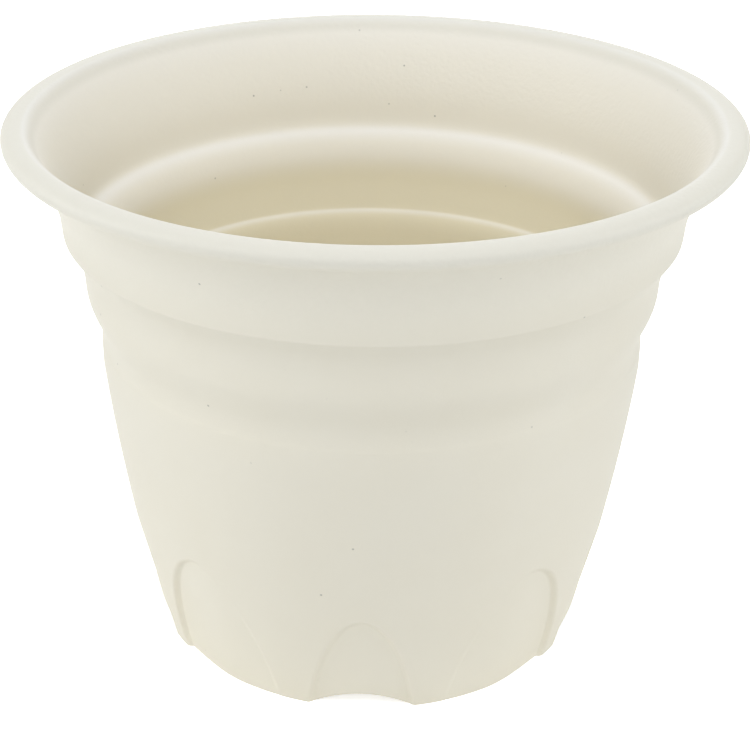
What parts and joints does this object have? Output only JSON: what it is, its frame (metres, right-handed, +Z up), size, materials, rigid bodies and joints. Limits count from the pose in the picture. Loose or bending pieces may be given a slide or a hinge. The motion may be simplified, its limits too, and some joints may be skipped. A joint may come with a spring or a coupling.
{
  "type": "plant pot",
  "caption": "Round tapered plant pot with a rolled lip, stepped bands, arched recesses round the foot and drain holes in a raised floor.",
  "frame": {"origin": "centre of the standing ring, on the ground", "axes": "+Z up along the pot's axis, -Y towards the small arch that faces the viewer in the picture"},
  "size_m": [0.19, 0.19, 0.145],
  "materials": {
    "ivory_moulding": "matte, fine grain with sparse dark flecks"
  },
  "bodies": {
    "root": {"pot": "ivory_moulding"}
  },
  "joints": []
}
